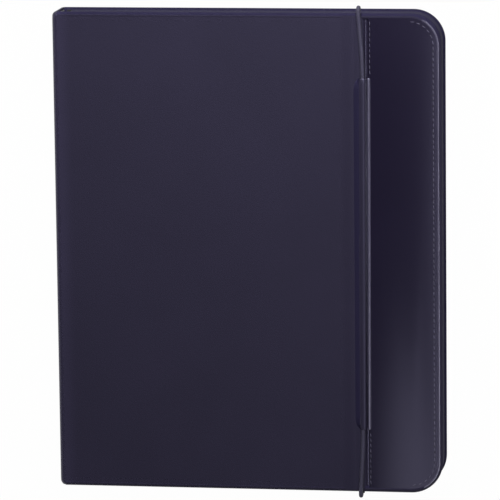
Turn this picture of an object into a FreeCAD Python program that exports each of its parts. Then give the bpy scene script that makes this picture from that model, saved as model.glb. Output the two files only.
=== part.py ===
import FreeCAD, Part
import math
import os
import re
import Sketcher

# A tablet keyboard case, closed and lying on its back.
# +X runs from the spine to the free edge, +Y to the head edge and +Z out of the front cover.
# The origin is the middle of the rear cover's outer face. Every size is in millimetres.

DRIVING_SIZES = {
    # Covers and spine
    "case_width": 210,
    "case_length": 260,
    "closed_height": 24.5,
    "corner_radius": 17,
    "skin": 1.2,
    "board": 1.6,
    "lining": 0.5,
    "fold_radius": 3,
    "board_setback": 1,
    # Accent panel, lip and elastic
    "accent_width": 39,
    "panel_gap": 0.8,
    "cord_diameter": 2.2,
    "cord_clearance": 0.25,
    "cord_inset": 3.2,
    "cord_head_shift": 2.2,
    "cord_tail_shift": 1.5,
    "cord_turn": 1.5,
    "cord_end_gap": 0.2,
    "lip_length": 191,
    "lip_thickness": 0.8,
    "lip_foot": 4,
    "lip_overlap": 1.3,
    "eyelet_radius": 1.2,
    "eyelet_thickness": 0.8,
    # Tablet tray
    "tablet_width": 186,
    "tablet_length": 241,
    "tablet_depth": 9,
    "tablet_clearance": 0.5,
    "tray_wall": 2,
    "tray_floor": 1.2,
    "tray_rim": 0.7,
    "tray_overhang": 1.2,
    "tray_radius": 10,
    "inner_shift": 2,
    "pad": 0.4,
    "port_notch": 34,
    # Padded surrounds that fill the sides out to the covers' edges
    "surround_inset": 1,
    "surround_left": 5,
    "access_margin": 8,
    # Keyboard casing
    "keyboard_height": 5.5,
    "base_floor": 1,
    "base_wall": 1.5,
    "deck": 1,
    "plate": 0.6,
    "sheet": 0.4,
    "sheet_margin": 2,
    "bumper_radius": 1.4,
    "bumper_clearance": 0.2,
    "bumper_spacing": 160,
    # Keys
    "key_pitch": 16.6,
    "row_pitch": 17,
    "function_pitch": 10,
    "key_gap": 2.4,
    "half_key_gap": 0.8,
    "key_rise": 1.2,
    "key_depth": 1.4,
    "key_taper": 0.7,
    "key_margin": 9,
    "hole_clearance": 0.3,
    "dome_gap": 0.1,
    "dome_top": 1.6,
    "dome_base": 2.6,
    # Electronics and small parts
    "battery_width": 60,
    "battery_length": 150,
    "battery_depth": 3,
    "palm_margin": 14,
    "controller_width": 46,
    "controller_length": 25,
    "controller_depth": 1,
    "socket_width": 7.5,
    "socket_length": 5.5,
    "socket_depth": 2.4,
    "socket_shell": 0.3,
    "socket_offset": 13,
    "switch_length": 5,
    "switch_depth": 1.2,
    "switch_reach": 2.9,
    "switch_proud": 0.8,
    "switch_travel": 3,
    "switch_offset": 38,
    "button_radius": 1.8,
    "button_rise": 0.4,
    "button_tail": 0.8,
    "button_offset": 60,
    "light_radius": 0.9,
    "light_tail": 1,
    "light_offset": 60,
    "light_pitch": 6,
    "light_clearance": 0.05,
    "screw_inset": 4.2,
    "screw_spacing": 105,
    "screw_radius": 0.8,
    "screw_clearance": 0.05,
    "screw_head_radius": 1.8,
    "screw_head": 0.8,
    "boss_radius": 2.4,
    "screw_tip": 0.4,
}

KEY_UNITS = 14
FULL, NEAR, FAR = "full", "near", "far"
# Each run of keys is its row, the unit where it starts, how many keys, their width in units and
# the part of the row that they fill.
KEY_RUNS = {
    "function_keys": [(0, 0, 14, 1, FULL)],
    "number_keys": [(1, 0, 12, 1, FULL)],
    "backspace_key": [(1, 12, 1, 2, FULL)],
    "tab_key": [(2, 0, 1, 1, FULL)],
    "upper_letter_keys": [(2, 1, 13, 1, FULL)],
    "caps_key": [(3, 0, 1, 1.5, FULL)],
    "middle_letter_keys": [(3, 1.5, 11, 1, FULL)],
    "enter_key": [(3, 12.5, 1, 1.5, FULL)],
    "left_shift_key": [(4, 0, 1, 2, FULL)],
    "lower_letter_keys": [(4, 2, 10, 1, FULL)],
    "right_shift_key": [(4, 12, 1, 2, FULL)],
    "modifier_keys": [(5, 0, 4, 1, FULL), (5, 9, 2, 1, FULL)],
    "space_bar": [(5, 4, 1, 5, FULL)],
    "arrow_keys": [(5, 11, 1, 1, FULL), (5, 12, 1, 1, NEAR), (5, 12, 1, 1, FAR), (5, 13, 1, 1, FULL)],
}

# Places worked out from the driving sizes, as expressions of their names
FREE_EDGE = "(case_width / 2)"
HEAD_EDGE = "(case_length / 2)"
SPINE_FACE = "(-case_width / 2)"
FOLD_LINE = "(fold_radius - case_width / 2)"
FACE = "closed_height"
COVER = "(skin + board + lining)"
FRONT_INSIDE = f"(closed_height - {COVER})"
PANEL_EDGE = "(case_length / 2 - skin)"
ACCENT_LEFT = "(case_width / 2 - accent_width)"
CORD_X = f"({ACCENT_LEFT} - cord_inset)"
CORD_Z = f"({FACE} + cord_clearance + cord_diameter / 2)"
LIP_LEFT = f"({CORD_X} - cord_diameter / 2 - cord_clearance - lip_thickness)"
LIP_UNDER = f"({FACE} + cord_diameter + 2 * cord_clearance)"
TRAY_WIDTH = "(tablet_width + 2 * tablet_clearance + 2 * tray_wall)"
TRAY_LENGTH = "(tablet_length + 2 * tablet_clearance + 2 * tray_wall)"
TRAY_TOP = f"({COVER} + tray_floor + tablet_depth + tray_rim)"
PORT_SPAN = ("(inner_shift - port_notch / 2)", "(inner_shift + port_notch / 2)")
KEYBOARD_LEFT = f"(inner_shift - {TRAY_WIDTH} / 2)"
KEYBOARD_RIGHT = f"(inner_shift + {TRAY_WIDTH} / 2)"
KEYBOARD_HEAD = f"({TRAY_LENGTH} / 2)"
DECK_FACE = f"({FRONT_INSIDE} - keyboard_height)"
DECK_BACK = f"({DECK_FACE} + deck)"
BASE_FLOOR = f"({FRONT_INSIDE} - base_floor)"
PLATE_FACE = f"({BASE_FLOOR} - plate)"
SHEET_FACE = f"({PLATE_FACE} - sheet)"
KEY_BACK = f"({DECK_FACE} + key_depth)"
KEY_START = f"({KEYBOARD_LEFT} + key_margin)"
KEY_FIELD = "(function_pitch + 5 * row_pitch)"
PALM_START = f"({KEY_START} + {KEY_FIELD} + palm_margin)"
CONTROLLER_FACE = f"({BASE_FLOOR} - controller_depth)"
SOCKET_X = f"({PALM_START} + socket_offset)"
SWITCH_X = f"({PALM_START} + switch_offset)"
SWITCH_Z = f"({CONTROLLER_FACE} - switch_depth - hole_clearance / 2)"
SCREW_SPOTS = [
    (f"({side} {sign} screw_inset)", f"({step} * screw_spacing)")
    for side, sign in ((KEYBOARD_LEFT, "+"), (KEYBOARD_RIGHT, "-"))
    for step in (-1, 0, 1)
]
LIGHT_COUNT = 3

doc = FreeCAD.newDocument("TabletKeyboardCase")
sheet = doc.addObject("Spreadsheet::Sheet", "Sizes")
nodes = {}


def fill_sheet():
    """One row for each driving size: its name beside the cell that holds it."""
    for row, (name, size) in enumerate(DRIVING_SIZES.items(), start=1):
        sheet.set(f"A{row}", name)
        sheet.set(f"B{row}", str(size))
        sheet.setAlias(f"B{row}", name)
    doc.recompute()


def cells(expression):
    """The expression with each size's name turned into its cell."""
    return re.sub(r"[a-z][a-z_]*", lambda word: f"Sizes.{word.group(0)}", expression)


def bind(item, **expressions):
    for name, expression in expressions.items():
        item.setExpression(name, cells(expression))


def place(item, x, y, z):
    for axis, expression in zip("xyz", (x, y, z)):
        item.setExpression(f".Placement.Base.{axis}", cells(expression))


def keep(item, label):
    """Marks a finished piece as a node of the case."""
    item.Label = label
    nodes[label] = item
    return item


def box(name, x, y, z):
    """A block between three pairs of places."""
    block = doc.addObject("Part::Box", name)
    bind(
        block,
        Length=f"{x[1]} - {x[0]}",
        Width=f"{y[1]} - {y[0]}",
        Height=f"{z[1]} - {z[0]}",
    )
    place(block, x[0], y[0], z[0])
    return block


def rod(name, x, y, z, radius):
    """An upright round bar between two heights."""
    bar = doc.addObject("Part::Cylinder", name)
    bind(bar, Radius=radius, Height=f"{z[1]} - {z[0]}")
    place(bar, x, y, z[0])
    return bar


def rectangle(body, name, x, y, z):
    """A sketched rectangle that lies level at height z."""
    sketch = body.newObject("Sketcher::SketchObject", name)
    level = [plane for plane in body.Origin.OriginFeatures if plane.Role == "XY_Plane"]
    sketch.AttachmentSupport = [(level[0], "")]
    sketch.MapMode = "FlatFace"
    corners = [FreeCAD.Vector(*corner) for corner in ((0, 0, 0), (1, 0, 0), (1, 1, 0), (0, 1, 0))]
    for corner, following in zip(corners, corners[1:] + corners[:1]):
        sketch.addGeometry(Part.LineSegment(corner, following))
    for side in range(4):
        sketch.addConstraint(Sketcher.Constraint("Coincident", side, 2, (side + 1) % 4, 1))
        direction = "Horizontal" if side % 2 == 0 else "Vertical"
        sketch.addConstraint(Sketcher.Constraint(direction, side))
    sketch.addConstraint(Sketcher.Constraint("Coincident", 0, 1, -1, 1))
    width = sketch.addConstraint(Sketcher.Constraint("DistanceX", 0, 1, 0, 2, 1))
    length = sketch.addConstraint(Sketcher.Constraint("DistanceY", 1, 1, 1, 2, 1))
    sketch.renameConstraint(width, "width")
    sketch.renameConstraint(length, "length")
    sketch.setExpression("Constraints.width", cells(f"{x[1]} - {x[0]}"))
    sketch.setExpression("Constraints.length", cells(f"{y[1]} - {y[0]}"))
    for axis, expression in zip("xyz", (x[0], y[0], z)):
        sketch.setExpression(f".AttachmentOffset.Base.{axis}", cells(expression))
    return sketch


def upright_edges(shape, right_only):
    """Names of the corner edges that stand upright, on the free edge or all round."""
    middle = shape.BoundBox.Center.x
    names = []
    for number, edge in enumerate(shape.Edges, start=1):
        low, high = (edge.valueAt(end) for end in edge.ParameterRange)
        upright = math.hypot(high.x - low.x, high.y - low.y) < 1e-6
        if upright and (low.x > middle or not right_only):
            names.append(f"Edge{number}")
    return names


def plate(name, x, y, z, radius=None, right_only=False):
    """A flat plate padded from a rectangle, with rounded corners where it has a radius."""
    body = doc.addObject("PartDesign::Body", name)
    pad = body.newObject("PartDesign::Pad", f"{name}_pad")
    pad.Profile = rectangle(body, f"{name}_outline", x, y, z[0])
    bind(pad, Length=f"{z[1]} - {z[0]}")
    body.Tip = pad
    if radius:
        doc.recompute()
        rounding = body.newObject("PartDesign::Fillet", f"{name}_corners")
        rounding.Base = (pad, upright_edges(pad.Shape, right_only))
        bind(rounding, Radius=radius)
        body.Tip = rounding
    return body


def joined(name, pieces):
    fuse = doc.addObject("Part::MultiFuse", name)
    fuse.Shapes = pieces
    return fuse


def grouped(name, pieces):
    group = doc.addObject("Part::Compound", name)
    group.Links = pieces
    return group


def cut(name, base, tool):
    result = doc.addObject("Part::Cut", name)
    result.Base = base
    result.Tool = tool
    return result


def across(half):
    """The span from minus to plus a half width."""
    return (f"-{half}", half)


def make_binding(label, z):
    """The leather turned over a cover's three free edges, open towards the spine."""
    outer = plate(f"{label}_outer", (FOLD_LINE, FREE_EDGE), across(HEAD_EDGE), z, "corner_radius", True)
    inner = plate(
        f"{label}_inner",
        (SPINE_FACE, f"({FREE_EDGE} - skin)"),
        across(PANEL_EDGE),
        z,
        "corner_radius - skin",
        True,
    )
    keep(cut(f"{label}_band", outer, inner), label)


def make_cover_layer(label, left, z):
    """One layer of a cover, held inside its binding."""
    right = f"({FREE_EDGE} - skin)"
    keep(plate(label, (left, right), across(PANEL_EDGE), z, "corner_radius - skin", True), label)


def make_front_cover():
    board_back = f"({FRONT_INSIDE} + lining)"
    board_face = f"({FACE} - skin)"
    make_binding("front_edge_binding", (FRONT_INSIDE, FACE))
    make_cover_layer("front_lining", f"({FOLD_LINE} + board_setback + lining)", (FRONT_INSIDE, board_back))
    make_cover_layer("front_board", f"({FOLD_LINE} + board_setback)", (board_back, board_face))
    panel_right = f"({ACCENT_LEFT} - panel_gap)"
    keep(plate("front_skin", (FOLD_LINE, panel_right), across(PANEL_EDGE), (board_face, FACE)), "front_skin")
    make_cover_layer("accent_panel", ACCENT_LEFT, (board_face, FACE))


def make_rear_cover():
    board_face = "(skin + board)"
    make_binding("rear_edge_binding", ("0", COVER))
    make_cover_layer("rear_skin", FOLD_LINE, ("0", "skin"))
    make_cover_layer("rear_board", f"({FOLD_LINE} + board_setback)", ("skin", board_face))
    make_cover_layer("rear_lining", f"({FOLD_LINE} + board_setback + lining)", (board_face, COVER))


def make_spine():
    fold_ends = ("fold_radius", f"({FACE} - fold_radius)")
    board_ends = ("(fold_radius + board_setback)", f"({FACE} - fold_radius - board_setback)")
    layers = (
        ("spine_skin", "0", "skin", HEAD_EDGE, fold_ends),
        ("spine_board", "skin", "(skin + board)", PANEL_EDGE, board_ends),
        ("spine_lining", "(skin + board)", COVER, PANEL_EDGE, board_ends),
    )
    for label, outside, inside, edge, ends in layers:
        span = (f"({SPINE_FACE} + {outside})", f"({SPINE_FACE} + {inside})")
        keep(plate(label, span, across(edge), ends), label)


def make_crease(label, z, start, turned):
    """A quarter of a leather tube, where a cover bends into the spine."""
    back = FreeCAD.Vector(0, -1, 0)
    rotation = FreeCAD.Rotation(start, turned, back, "XYZ")
    tubes = []
    for wall, radius in (("outside", "fold_radius"), ("inside", "fold_radius - skin")):
        tube = doc.addObject("Part::Cylinder", f"{label}_{wall}")
        tube.Angle = 90
        bind(tube, Radius=radius, Height="case_length")
        tube.Placement = FreeCAD.Placement(FreeCAD.Vector(), rotation)
        place(tube, FOLD_LINE, HEAD_EDGE, z)
        tubes.append(tube)
    keep(cut(f"{label}_quarter", *tubes), label)


def make_creases():
    to_spine = FreeCAD.Vector(-1, 0, 0)
    upwards = FreeCAD.Vector(0, 0, 1)
    make_crease("rear_crease", "fold_radius", to_spine, -upwards)
    make_crease("front_crease", f"({FACE} - fold_radius)", upwards, to_spine)


def make_strap_lip():
    """The hem that holds the cord down: a foot on the panel, a riser and a roof open to the right."""
    length = across("(lip_length / 2)")
    riser_right = f"({LIP_LEFT} + lip_thickness)"
    roof_top = f"({LIP_UNDER} + lip_thickness)"
    roof_right = f"({CORD_X} + cord_diameter / 2 + lip_overlap)"
    foot_z = (FACE, f"({FACE} + lip_thickness)")
    foot = box("lip_foot", (f"({LIP_LEFT} - lip_foot)", riser_right), length, foot_z)
    riser = box("lip_riser", (LIP_LEFT, riser_right), length, (FACE, roof_top))
    roof = box("lip_roof", (LIP_LEFT, roof_right), length, (LIP_UNDER, roof_top))
    keep(joined("lip", [foot, riser, roof]), "strap_lip")


def bend(before, corner, after):
    """The largest arc that joins two runs: its two ends and its middle."""
    share = 0.45
    reach = share * min(before.distanceToPoint(corner), after.distanceToPoint(corner))
    towards_before = (before - corner).normalize()
    towards_after = (after - corner).normalize()
    half_turn = (math.pi - towards_before.getAngle(towards_after)) / 2
    radius = reach / math.tan(half_turn)
    inwards = (towards_before + towards_after).normalize()
    middle = corner + inwards * (radius / math.cos(half_turn) - radius)
    print(f"elastic bend radius {radius:.0f} mm")
    return corner + towards_before * reach, middle, corner + towards_after * reach


def make_elastic():
    """The round elastic: flat under the lip, slanting to the edges, and turned over each edge."""
    size = {name: sheet.get(name) for name in DRIVING_SIZES}
    radius = size["cord_diameter"] / 2
    height = size["closed_height"] + size["cord_clearance"] + radius
    under_lip = size["case_width"] / 2 - size["accent_width"] - size["cord_inset"]
    edge = size["case_length"] / 2 + size["eyelet_thickness"] + size["cord_end_gap"]
    lip_end = size["lip_length"] / 2
    turn = FreeCAD.Vector(0, 0, 2 * size["cord_turn"])
    head = FreeCAD.Vector(under_lip - size["cord_head_shift"], edge, height)
    tail = FreeCAD.Vector(under_lip - size["cord_tail_shift"], -edge, height)
    head_lip = FreeCAD.Vector(under_lip, lip_end, height)
    tail_lip = FreeCAD.Vector(under_lip, -lip_end, height)
    head_bend = bend(head, head_lip, tail_lip)
    tail_bend = bend(head_lip, tail_lip, tail)
    outwards = size["cord_turn"]
    head_turn_middle = head - turn / 2 + (head - head_lip).normalize() * outwards
    tail_turn_middle = tail - turn / 2 + (tail - tail_lip).normalize() * outwards
    curves = [
        Part.Arc(head - turn, head_turn_middle, head),
        Part.LineSegment(head, head_bend[0]),
        Part.Arc(*head_bend),
        Part.LineSegment(head_bend[2], tail_bend[0]),
        Part.Arc(*tail_bend),
        Part.LineSegment(tail_bend[2], tail),
        Part.Arc(tail, tail_turn_middle, tail - turn),
    ]
    route = Part.Wire([curve.toShape() for curve in curves])
    section = Part.Wire(Part.makeCircle(radius, head - turn, head - head_lip))
    cord = doc.addObject("Part::Feature", "elastic")
    cord.Shape = route.makePipeShell([section], True, False)
    cord.Placement = FreeCAD.Placement()
    expected = math.pi * radius**2 * route.Length
    volume = cord.Shape.Volume
    print(f"elastic length {route.Length:.1f} mm, volume {volume:.1f}, section x length {expected:.1f}")
    if abs(cord.Shape.Volume / expected - 1) > 0.01:
        raise RuntimeError("the elastic's volume isn't its section times its length")
    keep(cord, "elastic_cord")


def make_eyelets():
    """The metal end caps where the cord's ends are held on the head and tail edges."""
    caps = []
    low = f"({CORD_Z} - 2 * cord_turn)"
    ends = (("head", HEAD_EDGE, "cord_head_shift", 90), ("tail", f"-{HEAD_EDGE}", "cord_tail_shift", -90))
    for name, edge, shift, angle in ends:
        cap = doc.addObject("Part::Cylinder", f"eyelet_{name}")
        bind(cap, Radius="eyelet_radius", Height="eyelet_thickness")
        cap.Placement = FreeCAD.Placement(FreeCAD.Vector(), FreeCAD.Rotation(FreeCAD.Vector(1, 0, 0), -angle))
        place(cap, f"{CORD_X} - {shift}", edge, low)
        caps.append(cap)
    keep(grouped("eyelets", caps), "strap_eyelets")


def make_tray():
    """The shell that the tablet snaps into: floor, walls and a rim that overhangs the screen's edge."""
    floor = f"({COVER} + tray_floor)"
    rim_under = f"({floor} + tablet_depth)"
    half_width = f"({TRAY_WIDTH} / 2 - tray_wall)"
    half_length = f"({TRAY_LENGTH} / 2 - tray_wall)"

    def inset(name, step, z, radius):
        x = (f"(inner_shift - {half_width} + {step})", f"(inner_shift + {half_width} - {step})")
        return plate(name, x, across(f"({half_length} - {step})"), z, radius)

    shell = inset("tray_shell", "-tray_wall", (COVER, TRAY_TOP), "tray_radius")
    cavity = inset("tray_cavity", "0", (floor, rim_under), "tray_radius - tray_wall")
    mouth_z = (floor, f"({TRAY_TOP} + tray_rim)")
    mouth = inset("tray_mouth", "tray_overhang", mouth_z, "tray_radius - tray_wall")
    notch_height = (floor, f"({TRAY_TOP} + tray_rim)")
    tail_wall = (f"(-{TRAY_LENGTH} / 2 - tray_wall)", f"(-{half_length} + tray_wall)")
    port = box("tray_port", PORT_SPAN, tail_wall, notch_height)
    hollow = joined("tray_hollow", [cavity, mouth, port])
    keep(cut("tray", shell, hollow), "tablet_tray")
    pad_radius = "tray_radius - tray_wall"
    keep(inset("tray_floor_pad", "tray_overhang", (floor, f"({floor} + pad)"), pad_radius), "tray_pad")


def make_surround(label, z, notch):
    """A padded, leather-wrapped frame between the tray or keyboard and the cover's edges."""
    left = f"({FOLD_LINE} + surround_left)"
    right = f"({FREE_EDGE} - surround_inset)"
    half_length = f"({HEAD_EDGE} - surround_inset)"
    radius = "corner_radius - surround_inset"
    outer = plate(f"{label}_outer", (left, right), across(half_length), z, radius, True)
    inner = plate(f"{label}_inner", (KEYBOARD_LEFT, KEYBOARD_RIGHT), across(KEYBOARD_HEAD), z, "tray_radius")
    keep(cut(f"{label}_frame", outer, joined(f"{label}_hollow", [inner, notch])), label)


def make_surrounds():
    floor = f"({COVER} + tray_floor)"
    tail = (f"(-{HEAD_EDGE} - tray_wall)", f"(-{KEYBOARD_HEAD} + tray_wall)")
    plug_way = box("plug_way", PORT_SPAN, tail, (floor, f"({TRAY_TOP} + tray_rim)"))
    make_surround("tray_surround", (COVER, TRAY_TOP), plug_way)
    head = (f"({KEYBOARD_HEAD} - base_wall)", f"({HEAD_EDGE} + base_wall)")
    access = (
        f"({SOCKET_X} - access_margin)",
        f"({SWITCH_X} + switch_length + switch_travel + access_margin)",
    )
    finger_way = box("finger_way", access, head, (f"({DECK_FACE} - deck)", CONTROLLER_FACE))
    make_surround("keyboard_surround", (DECK_FACE, FRONT_INSIDE), finger_way)


def key_spots(runs):
    """Centre and size of each key in a node's runs, as expressions."""
    for row, start, count, width, part in runs:
        row_start = KEY_START if row == 0 else f"({KEY_START} + function_pitch + {row - 1} * row_pitch)"
        pitch = "function_pitch" if row == 0 else "row_pitch"
        depth = f"({pitch} - key_gap)"
        x = f"({row_start} + {pitch} / 2)"
        if part != FULL:
            depth = "((row_pitch - key_gap - half_key_gap) / 2)"
            sign = "-" if part == NEAR else "+"
            x = f"({x} {sign} ({depth} + half_key_gap) / 2)"
        for step in range(count):
            middle = KEY_UNITS / 2 - start - (step + 0.5) * width
            yield x, f"({middle} * key_pitch)", depth, f"({width} * key_pitch - key_gap)"


def make_key_cap(name, x, y, depth, width):
    """A keycap that narrows towards its top, which faces down while the case is closed."""
    cap = doc.addObject("Part::Wedge", name)
    bind(
        cap,
        Ymin="0",
        Ymax="key_depth + key_rise",
        Xmin=f"-{depth} / 2",
        Xmax=f"{depth} / 2",
        Zmin=f"-{width} / 2",
        Zmax=f"{width} / 2",
        X2min=f"key_taper - {depth} / 2",
        X2max=f"{depth} / 2 - key_taper",
        Z2min=f"key_taper - {width} / 2",
        Z2max=f"{width} / 2 - key_taper",
    )
    cap.Placement = FreeCAD.Placement(FreeCAD.Vector(), FreeCAD.Rotation(FreeCAD.Vector(1, 0, 0), -90))
    place(cap, x, y, KEY_BACK)
    return cap


def make_keys():
    """Every key's cap, its rubber dome and the hole that it goes through. Returns the holes."""
    domes = []
    holes = []
    for label, runs in KEY_RUNS.items():
        caps = []
        for number, (x, y, depth, width) in enumerate(key_spots(runs), start=1):
            caps.append(make_key_cap(f"{label}_{number}", x, y, depth, width))
            dome = doc.addObject("Part::Cone", f"{label}_dome_{number}")
            rise = f"{SHEET_FACE} - {KEY_BACK} - dome_gap"
            bind(dome, Radius1="dome_top", Radius2="dome_base", Height=rise)
            place(dome, x, y, f"({KEY_BACK} + dome_gap)")
            domes.append(dome)
            hole_x = (f"({x} - {depth} / 2 - hole_clearance)", f"({x} + {depth} / 2 + hole_clearance)")
            hole_y = (f"({y} - {width} / 2 - hole_clearance)", f"({y} + {width} / 2 + hole_clearance)")
            hole_z = (f"({DECK_FACE} - deck)", f"({DECK_BACK} + deck)")
            holes.append(box(f"{label}_hole_{number}", hole_x, hole_y, hole_z))
        keep(grouped(f"{label}_group", caps), label)
    keep(grouped("domes", domes), "key_domes")
    return holes


def make_key_sheets():
    """The contact sheet under the domes and the steel plate behind it."""
    x = (f"({KEY_START} - sheet_margin)", f"({KEY_START} + {KEY_FIELD} + sheet_margin)")
    y = across(f"({KEY_UNITS} * key_pitch / 2 + sheet_margin)")
    keep(plate("contact_sheet", x, y, (SHEET_FACE, PLATE_FACE), "sheet_margin"), "key_switch_sheet")
    keep(plate("steel_plate", x, y, (PLATE_FACE, BASE_FLOOR), "sheet_margin"), "support_plate")


def make_deck(key_holes):
    """The keyboard's face, with a hole for each key and bosses for the screws on its back."""
    face = plate(
        "deck_face",
        (KEYBOARD_LEFT, KEYBOARD_RIGHT),
        across(KEYBOARD_HEAD),
        (DECK_FACE, DECK_BACK),
        "tray_radius",
    )
    bosses = []
    holes = list(key_holes)
    through = (f"({DECK_FACE} - deck)", f"({DECK_BACK} + deck)")
    for number, (x, y) in enumerate(SCREW_SPOTS, start=1):
        bosses.append(rod(f"boss_{number}", x, y, (DECK_FACE, BASE_FLOOR), "boss_radius"))
        bore_z = (DECK_BACK, FRONT_INSIDE)
        holes.append(rod(f"boss_bore_{number}", x, y, bore_z, "screw_radius + screw_clearance"))
    edge_x = SCREW_SPOTS[0][0]
    holes.append(rod("button_hole", edge_x, "(-button_offset)", through, "button_radius + hole_clearance"))
    for number in range(LIGHT_COUNT):
        y = f"(light_offset + {number} * light_pitch)"
        holes.append(rod(f"light_hole_{number}", edge_x, y, through, "light_radius + light_clearance"))
    solid = joined("deck_solid", [face] + bosses)
    keep(cut("deck_cut", solid, grouped("deck_holes", holes)), "keyboard_deck")


def make_base():
    """The keyboard's back shell, against the lining, with slots for the socket, switch and screws."""
    shell = plate(
        "base_shell",
        (KEYBOARD_LEFT, KEYBOARD_RIGHT),
        across(KEYBOARD_HEAD),
        (DECK_BACK, FRONT_INSIDE),
        "tray_radius",
    )
    inner_x = (f"({KEYBOARD_LEFT} + base_wall)", f"({KEYBOARD_RIGHT} - base_wall)")
    inner_y = across(f"({KEYBOARD_HEAD} - base_wall)")
    hollow_z = (f"({DECK_BACK} - deck)", BASE_FLOOR)
    hollow = plate("base_hollow", inner_x, inner_y, hollow_z, "tray_radius - base_wall")
    wall_y = (f"({KEYBOARD_HEAD} - 2 * base_wall)", f"({KEYBOARD_HEAD} + base_wall)")
    socket_half = "(socket_width / 2 + hole_clearance)"
    socket_x = (f"({SOCKET_X} - {socket_half})", f"({SOCKET_X} + {socket_half})")
    slot_z = (f"({DECK_BACK} - deck)", f"({CONTROLLER_FACE} + hole_clearance)")
    socket_slot = box("socket_slot", socket_x, wall_y, slot_z)
    switch_x = (
        f"({SWITCH_X} - hole_clearance)",
        f"({SWITCH_X} + switch_length + switch_travel + hole_clearance)",
    )
    switch_z = (f"({SWITCH_Z} - hole_clearance)", f"({SWITCH_Z} + switch_depth + hole_clearance)")
    tools = [hollow, socket_slot, box("switch_slot", switch_x, wall_y, switch_z)]
    head_z = (f"({FRONT_INSIDE} - screw_head)", f"({FRONT_INSIDE} + screw_head)")
    for number, (x, y) in enumerate(SCREW_SPOTS, start=1):
        tools.append(rod(f"head_recess_{number}", x, y, head_z, "screw_head_radius + screw_clearance"))
        bore_z = (f"({BASE_FLOOR} - base_floor)", FRONT_INSIDE)
        tools.append(rod(f"screw_bore_{number}", x, y, bore_z, "screw_radius + screw_clearance"))
    keep(cut("base_cut", shell, joined("base_tools", tools)), "keyboard_base")


def make_screws():
    screws = []
    for number, (x, y) in enumerate(SCREW_SPOTS, start=1):
        head_z = (f"({FRONT_INSIDE} - screw_head)", FRONT_INSIDE)
        shank_z = (f"({DECK_BACK} + screw_tip)", FRONT_INSIDE)
        head = rod(f"screw_head_{number}", x, y, head_z, "screw_head_radius")
        shank = rod(f"screw_shank_{number}", x, y, shank_z, "screw_radius")
        screws.append(joined(f"screw_{number}", [head, shank]))
    keep(grouped("screws", screws), "keyboard_screws")


def make_electronics():
    battery_x = (PALM_START, f"({PALM_START} + battery_width)")
    battery_z = (f"({BASE_FLOOR} - battery_depth)", BASE_FLOOR)
    keep(plate("cell", battery_x, across("(battery_length / 2)"), battery_z, "sheet_margin"), "battery")
    controller_x = (PALM_START, f"({PALM_START} + controller_width)")
    controller_head = f"({KEYBOARD_HEAD} - base_wall - hole_clearance)"
    controller_y = (f"({controller_head} - controller_length)", controller_head)
    keep(box("circuit", controller_x, controller_y, (CONTROLLER_FACE, BASE_FLOOR)), "controller_board")
    socket_y = (f"({KEYBOARD_HEAD} - socket_length)", KEYBOARD_HEAD)
    socket_z = (f"({CONTROLLER_FACE} - socket_depth)", CONTROLLER_FACE)
    socket_half = "(socket_width / 2)"
    socket_x = (f"({SOCKET_X} - {socket_half})", f"({SOCKET_X} + {socket_half})")
    shell = box("socket_shell", socket_x, socket_y, socket_z)
    mouth_half = f"({socket_half} - socket_shell)"
    mouth = box(
        "socket_mouth",
        (f"({SOCKET_X} - {mouth_half})", f"({SOCKET_X} + {mouth_half})"),
        (f"({socket_y[0]} + 2 * socket_shell)", f"({KEYBOARD_HEAD} + base_wall)"),
        (f"({socket_z[0]} + socket_shell)", f"({socket_z[1]} - socket_shell)"),
    )
    keep(cut("socket_cut", shell, mouth), "charging_socket")


def make_controls():
    """The power slider in the head wall, the pairing button and the light pipes in the deck."""
    switch_y = (f"({KEYBOARD_HEAD} - switch_reach)", f"({KEYBOARD_HEAD} + switch_proud)")
    switch_z = (SWITCH_Z, f"({SWITCH_Z} + switch_depth)")
    keep(box("slider", (SWITCH_X, f"({SWITCH_X} + switch_length)"), switch_y, switch_z), "power_switch")
    edge_x = SCREW_SPOTS[0][0]
    button_z = (f"({DECK_FACE} - button_rise)", f"({DECK_BACK} + button_tail)")
    keep(rod("button", edge_x, "(-button_offset)", button_z, "button_radius"), "pairing_button")
    pipes = []
    for number in range(LIGHT_COUNT):
        y = f"(light_offset + {number} * light_pitch)"
        pipe_z = (DECK_FACE, f"({DECK_BACK} + light_tail)")
        pipes.append(rod(f"light_{number}", edge_x, y, pipe_z, "light_radius"))
    keep(grouped("lights", pipes), "status_lights")


def make_bumpers():
    """Soft pads on the deck that meet the tray's rim and keep the keys off the screen."""
    pads = []
    rim_middle = "((tray_wall + tray_overhang) / 2)"
    z = (f"({TRAY_TOP} + bumper_clearance)", DECK_FACE)
    left, right = f"({KEYBOARD_LEFT} + {rim_middle})", f"({KEYBOARD_RIGHT} - {rim_middle})"
    for x_name, x in (("left", left), ("right", right)):
        for y_name, sign in (("head", ""), ("tail", "-")):
            y = f"({sign}bumper_spacing / 2)"
            pads.append(rod(f"bumper_{x_name}_{y_name}", x, y, z, "bumper_radius"))
    keep(grouped("bumpers", pads), "screen_bumpers")


def check_pieces():
    """Stops before anything is written if a feature failed or a piece has no sound solid."""
    for item in doc.Objects:
        if "Invalid" in item.State or "Error" in item.State:
            raise RuntimeError(f"{item.Label} failed: {item.State}")
    for label, item in nodes.items():
        if item.Shape.isNull() or not item.Shape.isValid() or not item.Shape.Solids:
            raise RuntimeError(f"{label} has no valid solid")


def write_pieces():
    os.makedirs("parts", exist_ok=True)
    for label, item in nodes.items():
        item.Shape.exportStep(os.path.join("parts", f"{label}.step"))
    print(f"{len(nodes)} nodes written")


fill_sheet()
make_front_cover()
make_rear_cover()
make_spine()
make_creases()
make_strap_lip()
make_elastic()
make_eyelets()
make_tray()
make_surrounds()
make_key_sheets()
make_deck(make_keys())
make_base()
make_screws()
make_electronics()
make_controls()
make_bumpers()
doc.recompute()
check_pieces()
write_pieces()
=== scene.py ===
import math

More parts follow.
